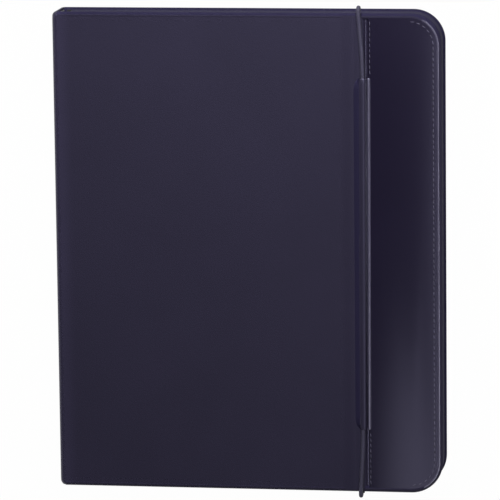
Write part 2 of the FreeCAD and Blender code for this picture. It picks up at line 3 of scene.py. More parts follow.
import bpy
from mathutils import Matrix, Vector


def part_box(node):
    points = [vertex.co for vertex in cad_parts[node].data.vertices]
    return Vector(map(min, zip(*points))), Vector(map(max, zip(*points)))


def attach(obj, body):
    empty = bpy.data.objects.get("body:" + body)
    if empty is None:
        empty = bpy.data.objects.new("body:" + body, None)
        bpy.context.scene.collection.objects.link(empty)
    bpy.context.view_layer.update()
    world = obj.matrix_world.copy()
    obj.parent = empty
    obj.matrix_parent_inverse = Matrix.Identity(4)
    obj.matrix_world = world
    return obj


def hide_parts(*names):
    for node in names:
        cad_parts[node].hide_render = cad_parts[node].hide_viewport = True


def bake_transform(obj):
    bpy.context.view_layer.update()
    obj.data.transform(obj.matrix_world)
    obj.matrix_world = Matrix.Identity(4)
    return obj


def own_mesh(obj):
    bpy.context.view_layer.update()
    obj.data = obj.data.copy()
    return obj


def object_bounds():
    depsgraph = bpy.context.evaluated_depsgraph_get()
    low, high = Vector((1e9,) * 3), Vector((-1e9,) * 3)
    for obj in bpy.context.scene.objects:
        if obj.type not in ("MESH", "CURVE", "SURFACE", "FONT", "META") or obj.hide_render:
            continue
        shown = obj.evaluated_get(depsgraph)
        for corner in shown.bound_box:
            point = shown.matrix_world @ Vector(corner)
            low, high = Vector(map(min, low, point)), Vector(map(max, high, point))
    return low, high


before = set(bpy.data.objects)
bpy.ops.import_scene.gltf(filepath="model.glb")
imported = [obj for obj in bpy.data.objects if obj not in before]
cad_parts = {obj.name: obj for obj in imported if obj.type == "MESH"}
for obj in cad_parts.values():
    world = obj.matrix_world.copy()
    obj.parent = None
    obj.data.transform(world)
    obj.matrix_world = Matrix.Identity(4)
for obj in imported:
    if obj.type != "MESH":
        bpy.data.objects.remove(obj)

bl_info = {
    "name": "Tablet Keyboard Case",
    "version": (1, 0, 0),
    "blender": (4, 5, 0),
    "location": "3D View > Sidebar > Keyboard Case",
    "description": "Builds the leatherette, elastic and plastic of a tablet keyboard case",
    "category": "Add Mesh",
}

CAD_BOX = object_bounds()
MM = 0.001
QUARTER_TURN = math.pi / 2

# Places and sizes that the frame's own nodes give
PANEL_LOW, PANEL_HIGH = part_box("front_skin")
ACCENT_LOW, ACCENT_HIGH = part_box("accent_panel")
LIP_LOW, LIP_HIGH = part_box("strap_lip")
SPINE_LOW, SPINE_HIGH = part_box("spine_skin")
COVER_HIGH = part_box("front_edge_binding")[1]
CORD_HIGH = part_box("elastic_cord")[1]
FACE = PANEL_HIGH.z
FOLD_LINE = PANEL_LOW.x
HEAD_EDGE = COVER_HIGH.y
FREE_EDGE = COVER_HIGH.x
SKIN = PANEL_HIGH.z - PANEL_LOW.z
KEY_NODES = (
    "function_keys", "number_keys", "backspace_key", "tab_key", "upper_letter_keys", "caps_key",
    "middle_letter_keys", "enter_key", "left_shift_key", "lower_letter_keys", "right_shift_key",
    "modifier_keys", "space_bar", "arrow_keys",
)

# Sizes that no node's box gives
CORNER_RADIUS = 17 * MM
CORNER_X = FREE_EDGE - CORNER_RADIUS
CORNER_Y = HEAD_EDGE - CORNER_RADIUS
CORNER_STEPS = 20
CORD_DIAMETER = 2.2 * MM
CORD_RADIUS = CORD_DIAMETER / 2
CORD_HEIGHT = CORD_HIGH.z - CORD_RADIUS
SEAM_LEAN = 0.9 * MM

# Points this close are merged, and places this close count as the same
MERGED = 0.001 * MM
SAME_PLACE = 0.01 * MM

# The photograph's view: the camera's place and aim in metres, its upward direction and a long lens
CAMERA_PLACE = Vector((0.337386, 0.383967, 2.246366))
CAMERA_AIM = Vector((0.001385, 0.001854, 0.0245))
CAMERA_UP = Vector((-0.01385, 0.98579, -0.16744))
CAMERA_LENS = 305.3
SENSOR_WIDTH = 36
FARTHEST_SEEN = 20

# Each softbox's place, its width and height in metres, and its power in watts
SOFTBOXES = {
    "head_softbox": ((0.06, 0.46, 0.41), (0.48, 0.42), 5.2),
    "tail_softbox": ((-0.05, -0.87, 1.6), (0.5, 0.6), 1.9),
    "edge_softbox": ((0.42, -0.1, 1.7), (0.04, 2.0), 7),
}
WORLD_LIGHT = 0.09


def linear_colour(hex_colour):
    """An sRGB hex colour as linear red, green, blue and alpha."""
    channels = [int(hex_colour[place:place + 2], 16) / 255 for place in (1, 3, 5)]
    curve = [c / 12.92 if c <= 0.04045 else ((c + 0.055) / 1.055) ** 2.4 for c in channels]
    return (*curve, 1.0)


def colour_property(name, description, hex_colour):
    return bpy.props.FloatVectorProperty(
        name=name, description=description, subtype="COLOR", size=4, min=0, max=1,
        default=linear_colour(hex_colour),
    )


def length_property(name, description, millimetres):
    return bpy.props.FloatProperty(
        name=name, description=description, subtype="DISTANCE", unit="LENGTH", precision=5,
        default=millimetres * MM,
    )


class CaseSizes(bpy.types.PropertyGroup):
    """Sizes of the soft details that the frame leaves open."""

    grain: length_property("Grain", "Width of one pebble of the leatherette's grain", 0.9)
    edge_roll: length_property("Edge roll", "Half width of the leather rolled over an edge", 1.8)
    edge_proud: length_property("Edge proud", "Height of the front roll above its panels", 0.1)
    panel_soften: length_property("Panel soften", "Rounding where a panel turns down", 0.5)
    stitch_pitch: length_property("Stitch pitch", "Distance from one stitch to the next", 2.9)
    stitch_length: length_property("Stitch length", "Length of thread that shows in a stitch", 2.1)
    thread: length_property("Thread", "Diameter of the sewing thread", 0.42)
    seam_inset: length_property("Seam inset", "Distance of the seam from the free edge", 4.3)
    key_round: length_property("Key rounding", "Rounding of a keycap's edges", 0.45)
    case_round: length_property("Casing rounding", "Rounding of the mouldings' edges", 0.3)


class CaseColours(bpy.types.PropertyGroup):
    """Base colours of the case's materials."""

    matte_leather: colour_property("Matte leatherette", "Main panels", "#201D2D")
    dull_leather: colour_property("Dull leatherette", "Turned sides of the case", "#232036")
    gloss_leather: colour_property("Gloss leatherette", "Accent panel", "#141021")
    # Paler than the panels: a painted highlight on the rolled edges' crest and on the hem
    rolled_edge: colour_property("Rolled edge", "Turned edges of the covers", "#3C394B")
    thread: colour_property("Thread", "Stitching", "#454254")
    elastic: colour_property("Elastic", "Cord cover", "#2C293F")
    lining: colour_property("Lining", "Microfibre inside the covers", "#232328")
    casing: colour_property("Casing", "Keyboard and tray plastic", "#2A2A2E")
    keycap: colour_property("Keycap", "Key plastic", "#101012")


def sizes():
    return bpy.context.scene.case_sizes


def colours():
    return bpy.context.scene.case_colours


# Modelling helpers


def edit_mode():
    bpy.ops.object.mode_set(mode="EDIT")


def object_mode():
    bpy.ops.object.mode_set(mode="OBJECT")


def deselect_all():
    bpy.ops.object.select_all(action="DESELECT")


def only(piece):
    """Makes one piece the selected and active object."""
    deselect_all()
    piece.select_set(True)
    bpy.context.view_layer.objects.active = piece


def edit_all(piece):
    """Enters edit mode on one piece with all of it selected."""
    only(piece)
    edit_mode()
    bpy.ops.mesh.select_all(action="SELECT")


def edit_chosen(piece, kind, chosen):
    """Enters edit mode on one piece with the edges or faces selected whose corners pass a test."""
    only(piece)
    edit_mode()
    bpy.ops.mesh.select_mode(type=kind)
    bpy.ops.mesh.select_all(action="DESELECT")
    object_mode()
    points = piece.data.vertices
    parts = piece.data.edges if kind == "EDGE" else piece.data.polygons
    for part in parts:
        part.select = chosen(*(points[corner].co for corner in part.vertices))
    edit_mode()


def extrude(move):
    """In edit mode, draws what is selected out in a straight line."""
    bpy.ops.mesh.extrude_region_move(TRANSFORM_OT_translate={"value": move})


def bevel_edges(piece, chosen, width, segments):
    edit_chosen(piece, "EDGE", chosen)
    bpy.ops.mesh.bevel(offset=width, segments=segments, affect="EDGES", clamp_overlap=True)
    object_mode()


def mend(piece, close_ends=False):
    """Merges doubled points, closes open ends where asked, and turns every face outwards."""
    edit_all(piece)
    bpy.ops.mesh.remove_doubles(threshold=MERGED)
    if close_ends:
        bpy.ops.mesh.fill_holes(sides=0)
    bpy.ops.mesh.normals_make_consistent(inside=False)
    object_mode()


def apply_modifier(piece, kind, **settings):
    only(piece)
    modifier = piece.modifiers.new(kind.title(), kind)
    for name, value in settings.items():
        setattr(modifier, name, value)
    bpy.ops.object.modifier_apply(modifier=modifier.name)


def smooth(piece, degrees):
    only(piece)
    bpy.ops.object.shade_smooth_by_angle(angle=math.radians(degrees))


def weight_normals(piece):
    """Keeps the rounded edges' shading from running out over the flat faces beside them."""
    apply_modifier(piece, "WEIGHTED_NORMAL", weight=100, keep_sharp=True)


def fresh_piece(name, scale=(1, 1, 1)):
    """Names the primitive that was just added, and moves its place and scale into its mesh."""
    piece = bpy.context.object
    piece.name = piece.data.name = name
    piece.scale = scale
    bpy.ops.object.transform_apply(location=True, rotation=True, scale=True)
    return piece


def block_between(name, low, high):
    deselect_all()
    bpy.ops.mesh.primitive_cube_add(size=1, location=(low + high) / 2)
    return fresh_piece(name, high - low)


def own_copy(model, name):
    """A copy of a piece with its own mesh."""
    piece = model.copy()
    piece.data = model.data.copy()
    piece.name = piece.data.name = name
    bpy.context.scene.collection.objects.link(piece)
    return piece


def join_copies(name, model, moves):
    """One piece made of copies of a model, each in the place and direction that a matrix gives."""
    copies = [own_copy(model, name) for _ in moves]
    deselect_all()
    for piece, move in zip(copies, moves):
        piece.data.transform(move)
        piece.select_set(True)
    bpy.context.view_layer.objects.active = copies[0]
    bpy.ops.object.join()
    return copies[0]


def soften(node, name, width, segments=2):
    """A copy of a moulded or padded piece of the frame with its sharp edges rounded."""
    flat, sharp = math.radians(1), math.radians(40)
    piece = own_copy(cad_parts[node], name)
    piece.parent = None
    for key in list(piece.keys()):
        del piece[key]
    edit_all(piece)
    bpy.ops.mesh.remove_doubles(threshold=MERGED)
    bpy.ops.mesh.dissolve_limited(angle_limit=flat)
    object_mode()
    apply_modifier(
        piece, "BEVEL", width=width, segments=segments, limit_method="ANGLE", angle_limit=sharp,
        use_clamp_overlap=True, harden_normals=False,
    )
    smooth(piece, degrees=35)
    weight_normals(piece)
    return piece


def finish_piece(piece, material, slot, body, *nodes):
    """Gives a piece its material, sets it on its body and hides the nodes it replaces. The slot is not
    used.
    """
    piece.data.materials.clear()
    piece.data.materials.append(material)
    if body:
        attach(piece, body)
    if nodes:
        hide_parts(*nodes)


def finish_faces(piece, material, chosen):
    """Gives another material to the faces of a finished piece that pass a test."""
    piece.data.materials.append(material)
    last = len(piece.data.materials) - 1
    for face in piece.data.polygons:
        if chosen(face):
            face.material_index = last


def near(a, b):
    return abs(a - b) < SAME_PLACE


def eased(share):
    """A share between 0 and 1, with a slow start and a slow end."""
    share = min(1.0, max(0.0, share))
    return share * share * (3 - 2 * share)


def seam_shift(y):
    """How far the hand-laid seam beside the accent panel has drifted toward the spine at a place."""
    return -SEAM_LEAN * (1 - y / HEAD_EDGE) / 2


def round_free_corners(piece, right):
    """Rounds the two upright corner edges of a panel that lies inside the rolled edge."""
    def upright(a, b):
        return near(a.x, right) and near(b.x, right) and near(a.y, b.y)

    bevel_edges(piece, upright, CORNER_RADIUS - SKIN, CORNER_STEPS)


# Materials

# How wide one band of a wave texture is at a scale of 1
WAVE_BAND = 0.16


def set_inputs(tree, node, inputs):
    """Sets a node's inputs to plain values, or links them to other nodes' outputs."""
    for name, value in inputs.items():
        if isinstance(value, bpy.types.NodeSocket):
            tree.links.new(value, node.inputs[name])
        else:
            node.inputs[name].default_value = value


def add_node(tree, kind, inputs=None, **settings):
    """Adds a node with its settings and inputs."""
    node = tree.nodes.new(kind)
    for name, value in settings.items():
        setattr(node, name, value)
    set_inputs(tree, node, inputs or {})
    return node


def new_material(name):
    """An empty material: its tree, its shader and its Object coordinates."""
    material = bpy.data.materials.new(name)
    material.use_nodes = True
    tree = material.node_tree
    tree.nodes.clear()
    shader = add_node(tree, "ShaderNodeBsdfPrincipled")
    add_node(tree, "ShaderNodeOutputMaterial", {"Surface": shader.outputs["BSDF"]})
    place = add_node(tree, "ShaderNodeTexCoord").outputs["Object"]
    return material, tree, shader, place


def varied_colour(tree, place, colour, patch, spread):
    """A colour that drifts a little darker and lighter over patches of a given width."""
    patches = add_node(tree, "ShaderNodeTexNoise", {"Vector": place, "Scale": 1 / patch, "Detail": 4.0})
    ramp = add_node(tree, "ShaderNodeValToRGB", {"Fac": patches.outputs["Fac"]})
    dark_end, light_end = ramp.color_ramp.elements
    dark_end.position, light_end.position = 0.3, 0.7
    dark_end.color = (*(c * (1 - spread) for c in colour[:3]), 1.0)
    light_end.color = (*(min(1.0, c * (1 + spread)) for c in colour[:3]), 1.0)
    return ramp.outputs["Color"]


def leatherette(name, colour, roughness, specular, grain_depth, wave_depth, coat=0.0):
    """Polyurethane on cloth, embossed with a pebbled grain under a clear topcoat.

    The pebbles break up the gloss and slow waves in the cloth behind bend the reflections. The colour is
    painted up to 1.4 times paler toward the fold line: a painted highlight on the spine side."""
    material, tree, shader, place = new_material(name)
    grain = sizes().grain
    pebble_rim, pore, pore_share = 0.45, grain / 4, 0.35
    cloth_wave, uneven_by = 22 * MM, 0.06
    # Painted highlight: within this width of the fold line the colour is made paler by up to this tone,
    # standing in for light on the spine side
    fold_highlight_width, fold_highlight_tone = 8 * MM, 1.4
    even_tone = varied_colour(tree, place, colour, patch=40 * MM, spread=0.06)
    across = add_node(tree, "ShaderNodeSeparateXYZ", {"Vector": place})
    painted_highlight = {"From Min": FOLD_LINE, "From Max": FOLD_LINE + fold_highlight_width, "To Min": fold_highlight_tone}
    fold_highlight = add_node(
        tree, "ShaderNodeMapRange", {"Value": across.outputs["X"], **painted_highlight, "To Max": 1.0},
        interpolation_type="SMOOTHSTEP",
    )
    tone = add_node(
        tree, "ShaderNodeVectorMath", {0: even_tone, "Scale": fold_highlight.outputs["Result"]},
        operation="SCALE",
    )
    pebbles = add_node(
        tree, "ShaderNodeTexVoronoi", {"Vector": place, "Scale": 1 / grain},
        feature="DISTANCE_TO_EDGE",
    )
    soft_pebbles = add_node(
        tree, "ShaderNodeMapRange", {"Value": pebbles.outputs["Distance"], "From Max": pebble_rim}
    )
    pores = add_node(tree, "ShaderNodeTexNoise", {"Vector": place, "Scale": 1 / pore, "Detail": 2.0})
    relief = add_node(
        tree, "ShaderNodeMath",
        {0: pores.outputs["Fac"], 1: pore_share, 2: soft_pebbles.outputs["Result"]},
        operation="MULTIPLY_ADD",
    )
    waves = add_node(
        tree, "ShaderNodeTexNoise", {"Vector": place, "Scale": 1 / cloth_wave, "Detail": 1.0}
    )
    wave_bump = add_node(
        tree, "ShaderNodeBump",
        {"Height": waves.outputs["Fac"], "Strength": 1.0, "Distance": wave_depth},
    )
    bump = add_node(
        tree, "ShaderNodeBump",
        {
            "Height": relief.outputs["Value"], "Strength": 1.0, "Distance": grain_depth,
            "Normal": wave_bump.outputs["Normal"],
        },
    )
    shine = {"To Min": roughness - uneven_by, "To Max": roughness + uneven_by}
    uneven = add_node(tree, "ShaderNodeMapRange", {"Value": pores.outputs["Fac"], **shine})
    set_inputs(tree, shader, {
        "Base Color": tone.outputs["Vector"], "Roughness": uneven.outputs["Result"],
        "Normal": bump.outputs["Normal"], "Specular IOR Level": specular,
        "Specular Tint": linear_colour("#DAD6FF"), "Coat Weight": coat,
        "Coat Roughness": roughness, "IOR": 1.48,
    })
    return material


def matte_leatherette():
    """The main panels: a soft-touch topcoat that scatters light, so only broad highlights show."""
    return leatherette(
        "Matte leatherette", colours().matte_leather, roughness=0.62, specular=0.3,
        grain_depth=0.035 * MM, wave_depth=0.05 * MM,
    )


def gloss_leatherette():
    """The accent panel: calendered smoother, so it mirrors the softboxes as long gradients."""
    return leatherette(
        "Gloss leatherette", colours().gloss_leather, roughness=0.24, specular=0.5,
        grain_depth=0.006 * MM, wave_depth=0.04 * MM,
    )


def rolled_leatherette():
    """The turned edges: leatherette stretched over the board and shinier, in a paler colour that is a
    painted highlight.
    """
    return leatherette(
        "Rolled leatherette", colours().rolled_edge, roughness=0.25, specular=1.0,
        grain_depth=0.006 * MM, wave_depth=0.02 * MM, coat=1.0,
    )


def dull_leatherette():
    """The turned sides: leatherette rubbed dull in use, which hardly mirrors what is round it."""
    return leatherette(
        "Dull leatherette", colours().dull_leather, roughness=0.8, specular=0.12,
        grain_depth=0.03 * MM, wave_depth=0.03 * MM,
    )


def stretched_leatherette():
    """The hem over the cord: the panel's leather stretched tight, so its crest takes a soft shine."""
    return leatherette(
        "Stretched leatherette", colours().matte_leather, roughness=0.42, specular=0.6,
        grain_depth=0.02 * MM, wave_depth=0.03 * MM,
    )


def sewing_thread():
    """Twisted polyester thread: diagonal plies with a slight sheen, drawn coarse enough to show."""
    material, tree, shader, place = new_material("Polyester thread")
    ply = 0.64 * sizes().thread
    plies = add_node(
        tree, "ShaderNodeTexWave", {"Vector": place, "Scale": WAVE_BAND / ply, "Distortion": 0.5},
        bands_direction="DIAGONAL",
    )
    bump = add_node(
        tree, "ShaderNodeBump",
        {"Height": plies.outputs["Fac"], "Strength": 0.6, "Distance": 0.05 * MM},
    )
    set_inputs(tree, shader, {
        "Base Color": varied_colour(tree, place, colours().thread, patch=6 * MM, spread=0.12),
        "Normal": bump.outputs["Normal"], "Roughness": 0.55, "Sheen Weight": 0.3,
    })
    return material


def braided_elastic():
    """A rubber core in a braided polyester cover: small crossing ribs that catch the light."""
    material, tree, shader, place = new_material("Braided elastic")
    rib, rib_slant = 0.7 * MM, 0.7
    ribs = []
    for turn in (rib_slant, -rib_slant):
        turned = add_node(tree, "ShaderNodeMapping", {"Vector": place, "Rotation": (0, 0, turn)})
        across = {"Vector": turned.outputs["Vector"], "Scale": WAVE_BAND / rib}
        ribs.append(add_node(tree, "ShaderNodeTexWave", across).outputs["Fac"])
    braid = add_node(tree, "ShaderNodeMath", {0: ribs[0], 1: ribs[1]}, operation="MAXIMUM")
    bump = add_node(
        tree, "ShaderNodeBump",
        {"Height": braid.outputs["Value"], "Strength": 0.7, "Distance": 0.12 * MM},
    )
    set_inputs(tree, shader, {
        "Base Color": varied_colour(tree, place, colours().elastic, patch=5 * MM, spread=0.1),
        "Normal": bump.outputs["Normal"], "Roughness": 0.6, "Sheen Weight": 0.05,
    })
    return material


def microfibre():
    """Brushed polyester pile: no gloss, a faint sheen at grazing angles, and patches where the
    pile lies over."""
    material, tree, shader, place = new_material("Microfibre lining")
    tuft = 0.35 * MM
    pile = add_node(tree, "ShaderNodeTexNoise", {"Vector": place, "Scale": 1 / tuft, "Detail": 3.0})
    bump = add_node(
        tree, "ShaderNodeBump",
        {"Height": pile.outputs["Fac"], "Strength": 0.5, "Distance": 0.12 * MM},
    )
    set_inputs(tree, shader, {
        "Base Color": varied_colour(tree, place, colours().lining, patch=9 * MM, spread=0.16),
        "Normal": bump.outputs["Normal"], "Roughness": 0.95, "Sheen Weight": 0.12,
        "Sheen Roughness": 0.5,
    })
    return material


def moulded_plastic(name, colour, roughness, spark):
    """Injection-moulded from a spark-eroded mould: a fine even texture that dulls the gloss."""
    material, tree, shader, place = new_material(name)
    uneven_by = 0.05
    texture = add_node(tree, "ShaderNodeTexNoise", {"Vector": place, "Scale": 1 / spark, "Detail": 2.0})
    bump = add_node(
        tree, "ShaderNodeBump",
        {"Height": texture.outputs["Fac"], "Strength": 0.35, "Distance": 0.02 * MM},
    )
    shine = {"To Min": roughness - uneven_by, "To Max": roughness + uneven_by}
    uneven = add_node(tree, "ShaderNodeMapRange", {"Value": texture.outputs["Fac"], **shine})
    set_inputs(tree, shader, {
        "Base Color": varied_colour(tree, place, colour, patch=30 * MM, spread=0.05),
        "Roughness": uneven.outputs["Result"], "Normal": bump.outputs["Normal"], "IOR": 1.53,
    })
    return material


def worn_metal(name, hex_colour, roughness, brush):
    """Plated sheet metal, drawn one way in making, which stretches its highlights."""
    material, tree, shader, place = new_material(name)
    drawn_out, uneven_by = 0.05, 0.1
    along = add_node(tree, "ShaderNodeMapping", {"Vector": place, "Scale": (1, drawn_out, 1)})
    lines = add_node(
        tree, "ShaderNodeTexNoise",
        {"Vector": along.outputs["Vector"], "Scale": 1 / brush, "Detail": 3.0},
    )
    shine = {"To Min": roughness - uneven_by, "To Max": roughness + uneven_by}
    uneven = add_node(tree, "ShaderNodeMapRange", {"Value": lines.outputs["Fac"], **shine})
    colour = linear_colour(hex_colour)
    set_inputs(tree, shader, {
        "Base Color": varied_colour(tree, place, colour, patch=12 * MM, spread=0.05),
        "Roughness": uneven.outputs["Result"], "Metallic": 1.0,
    })
    return material


def greyboard():
    """Pressed waste-paper board: grey with pale and dark fibres."""
    material, tree, shader, place = new_material("Grey board")
    colour = linear_colour("#77726A")
    set_inputs(tree, shader, {
        "Base Color": varied_colour(tree, place, colour, patch=1.5 * MM, spread=0.2),
        "Roughness": 0.9,
    })
    return material


# Pieces


class CASE_OT_elastic_cord(bpy.types.Operator):
    """The round elastic, held at the head and tail edges and tucked under the lip between them"""

    bl_idname = "case.elastic_cord"
    bl_label = "Elastic cord"

    def execute(self, context):
        turn = 1.5 * MM
        low = CORD_HEIGHT - 2 * turn
        route = self.route(turn, low)
        curve = bpy.data.curves.new("elastic_route", "CURVE")
        curve.dimensions = "3D"
        spline = curve.splines.new("NURBS")
        spline.points.add(len(route) - 1)
        for point, place in zip(spline.points, route):
            point.co = (*place, 1)
        spline.order_u = 3
        spline.use_endpoint_u = True
        spline.resolution_u = 16
        cord = bpy.data.objects.new("elastic_band", curve)
        context.scene.collection.objects.link(cord)
        line = bpy.data.meshes.new_from_object(cord)
        centreline = [point.co.copy() for point in line.vertices]
        bpy.data.meshes.remove(line)
        length = sum((b - a).length for a, b in zip(centreline, centreline[1:]))
        curve.bevel_depth = CORD_RADIUS
        curve.bevel_resolution = 5
        curve.use_fill_caps = True
        only(cord)
        bpy.ops.object.convert(target="MESH")
        cord = bpy.context.object
        mend(cord)
        smooth(cord, degrees=60)
        finish_piece(cord, braided_elastic(), "elastic", None, "elastic_cord")
        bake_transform(cord)
        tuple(route[0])
        return {"FINISHED"}

    def route(self, turn, low):
        """From the head's eyelet up over the edge, along under the lip and down at the tail's."""
        under_lip = CORD_HIGH.x - CORD_RADIUS
        head_x, tail_x = under_lip - 1.8 * MM, under_lip - 2.1 * MM
        lip_head_x, lip_tail_x = under_lip + 1.0 * MM, under_lip - 0.1 * MM
        lip_end = LIP_HIGH.y
        edge, straight = HEAD_EDGE + 1.0 * MM, 6 * MM
        head_lean, tail_lean = 0.45 * MM, 0.35 * MM
        beyond, tail_beyond = edge + 1.4 * turn, edge + 0.7 * turn
        return [
            (head_x, edge, low), (head_x, beyond, low), (head_x, beyond, CORD_HEIGHT),
            (head_x, beyond - 2 * turn, CORD_HEIGHT),
            (head_x + head_lean, edge - straight, CORD_HEIGHT), (lip_head_x, lip_end, CORD_HEIGHT),
            (lip_tail_x, -lip_end, CORD_HEIGHT), (tail_x + tail_lean, straight - edge, CORD_HEIGHT),
            (tail_x, 2 * turn - tail_beyond, CORD_HEIGHT), (tail_x, -tail_beyond, CORD_HEIGHT),
            (tail_x, -tail_beyond, low), (tail_x, -edge, low),
        ]


class CASE_OT_main_panel(bpy.types.Operator):
    """The large matte panel of the front cover, with its leather turned down at head and tail"""

    bl_idname = "case.main_panel"
    bl_label = "Main panel"

    def execute(self, context):
        tucked_under, leather = 0.8 * MM, 0.3 * SKIN
        right = ACCENT_LOW.x + tucked_under
        deselect_all()
        bpy.ops.mesh.primitive_grid_add(
            x_subdivisions=160, y_subdivisions=130, size=1,
            location=((right + FOLD_LINE) / 2, 0, FACE),
        )
        piece = fresh_piece("main_panel", (right - FOLD_LINE, PANEL_HIGH.y - PANEL_LOW.y, 1))
        for point in piece.data.vertices:
            point.co.z += self.rise(point.co)
        apply_modifier(piece, "SOLIDIFY", thickness=leather, offset=-1)
        smooth(piece, degrees=50)
        finish_piece(piece, matte_leatherette(), "matte_leatherette", "front_half", "front_skin")
        # Painted shade: the groove's floor beside the accent panel takes the darker gloss leatherette,
        # standing in for the shade in the groove
        seam = PANEL_HIGH.x - 1.5 * MM
        finish_faces(piece, gloss_leatherette(), lambda face: face.center.x > seam)
        return {"FINISHED"}

    def rise(self, place):
        """How far the leather lies above the cover's face, or below it if less than nothing.

        It turns down at the head and tail, starts to rise before it reaches the lip, dips under
        the lip and ends in a groove."""
        turned, turned_depth = 2.5 * MM, 0.04 * MM
        swell, swell_run, swell_height = LIP_LOW.x - 6 * MM, 7 * MM, 0.7 * MM
        dip, dip_run = LIP_LOW.x + 1.5 * MM, 2 * MM
        groove, groove_run, groove_depth = PANEL_HIGH.x - 2.6 * MM, 1.6 * MM, 1.0 * MM
        edge_share = max(0.0, 1 - (PANEL_HIGH.y - abs(place.y)) / turned)
        swell_share = eased((place.x - swell) / swell_run) * (1 - eased((place.x - dip) / dip_run))
        groove_share = eased((place.x - groove) / groove_run)
        sunk = turned_depth * edge_share ** 2 + groove_depth * groove_share
        return swell_height * swell_share - sunk


class CASE_OT_accent_panel(bpy.types.Operator):
    """The glossy strip along the free edge, and the rolled hem along the middle of its inner edge"""

    bl_idname = "case.accent_panel"
    bl_label = "Accent panel"

    def execute(self, context):
        piece = block_between("accent_leather", ACCENT_LOW, ACCENT_HIGH)
        for point in piece.data.vertices:
            if near(point.co.x, ACCENT_LOW.x):
                point.co.x += seam_shift(point.co.y)
        round_free_corners(piece, ACCENT_HIGH.x)

        def top_rim(a, b):
            return near(a.z, FACE) and near(b.z, FACE)

        bevel_edges(piece, top_rim, sizes().panel_soften, segments=4)
        smooth(piece, degrees=40)
        finish_piece(piece, gloss_leatherette(), "gloss_leatherette", "front_half", "accent_panel")
        self.add_hem()
        return {"FINISHED"}

    def add_hem(self):
        """A thin roll of leather, a little flattened, its ends tapered into the panel."""
        radius, flattened = 1.0 * MM, 0.75
        inset, tapered = 0.25 * radius, 0.8 * radius
        deselect_all()
        bpy.ops.mesh.primitive_cylinder_add(
            vertices=20, radius=radius, depth=LIP_HIGH.y - LIP_LOW.y,
            location=(ACCENT_LOW.x + inset, 0, FACE), rotation=(QUARTER_TURN, 0, 0),
        )
        hem = fresh_piece("accent_hem")
        for point in hem.data.vertices:
            point.co.x += seam_shift(point.co.y)
            point.co.z = FACE + (point.co.z - FACE) * flattened

        def end_rim(a, b):
            return near(a.y, b.y)

        bevel_edges(hem, end_rim, tapered, segments=4)
        smooth(hem, degrees=60)
        # The rolled leatherette's paler colour paints a highlight along the hem
        finish_piece(hem, rolled_leatherette(), "gloss_leatherette", "front_half")


class CASE_OT_edge_bindings(bpy.types.Operator):
    """The leather rolled over the three free edges of each cover"""

    bl_idname = "case.edge_bindings"
    bl_label = "Edge bindings"

    def execute(self, context):
        covers = (
            ("front_rolled_edge", "front_edge_binding", "front_half", sizes().edge_proud),
            ("rear_rolled_edge", "rear_edge_binding", "rear_half", 0),
        )
        dull, side_share = dull_leatherette(), 0.75
        for name, node, body, proud in covers:
            low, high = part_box(node)
            piece = self.roll_round_cover(name, low, high + Vector((0, 0, proud)))
            finish_piece(piece, dull, "matte_leatherette", body, node)
            if proud:
                self.finish_top(piece, low.z + side_share * (high.z - low.z))
        return {"FINISHED"}

    def roll_round_cover(self, name, low, high):
        """An oval drawn along the head edge, round both corners and back along the tail edge."""
        half_width = sizes().edge_roll
        half_height = (high.z - low.z) / 2
        level = (high.z + low.z) / 2
        corner_x, corner_y = high.x - CORNER_RADIUS, high.y - CORNER_RADIUS
        run = corner_x - low.x
        deselect_all()
        bpy.ops.mesh.primitive_circle_add(
            vertices=24, radius=1, location=(low.x, high.y - half_width, level),
            rotation=(0, QUARTER_TURN, 0),
        )
        piece = fresh_piece(name, (half_height, half_width, 1))
        edit_all(piece)
        extrude((run, 0, 0))
        self.turn_corner((corner_x, corner_y, level))
        extrude((0, -2 * corner_y, 0))
        self.turn_corner((corner_x, -corner_y, level))
        extrude((-run, 0, 0))
        object_mode()
        mend(piece, close_ends=True)
        smooth(piece, degrees=60)
        return piece

    def turn_corner(self, middle):
        bpy.ops.mesh.spin(steps=CORNER_STEPS, angle=QUARTER_TURN, center=middle, axis=(0, 0, 1))

    def finish_top(self, piece, top):
        """Gives the roll's top the panels' own finish, and the rolled leatherette to a band on its inner
        side at
        the free edge and round its corners: a shine in a paler colour, which is a painted highlight where
        the edge softbox's highlight falls. The side toward the head stays dull."""
        toward_head = 0.2

        def like_the_panels(face):
            return face.center.z > top and face.normal.y < toward_head

        # The faces of the painted highlight: the paler rolled leatherette on the roll's top at the free
        # edge
        def painted_highlight(face):
            return face.center.z > top and self.at_free_edge(face.center)

        finish_faces(piece, matte_leatherette(), like_the_panels)
        finish_faces(piece, rolled_leatherette(), painted_highlight)

    def at_free_edge(self, place):
        """Whether a place on the roll is at the free edge or near its corners, on the inner side."""
        past_inner_side, round_the_corner = 0.5 * MM, 0.6 * CORNER_RADIUS
        beyond = Vector((max(0.0, place.x - CORNER_X), max(0.0, abs(place.y) - CORNER_Y)))
        inner = beyond.length < CORNER_RADIUS - sizes().edge_roll + past_inner_side
        return inner and place.x > FREE_EDGE - round_the_corner


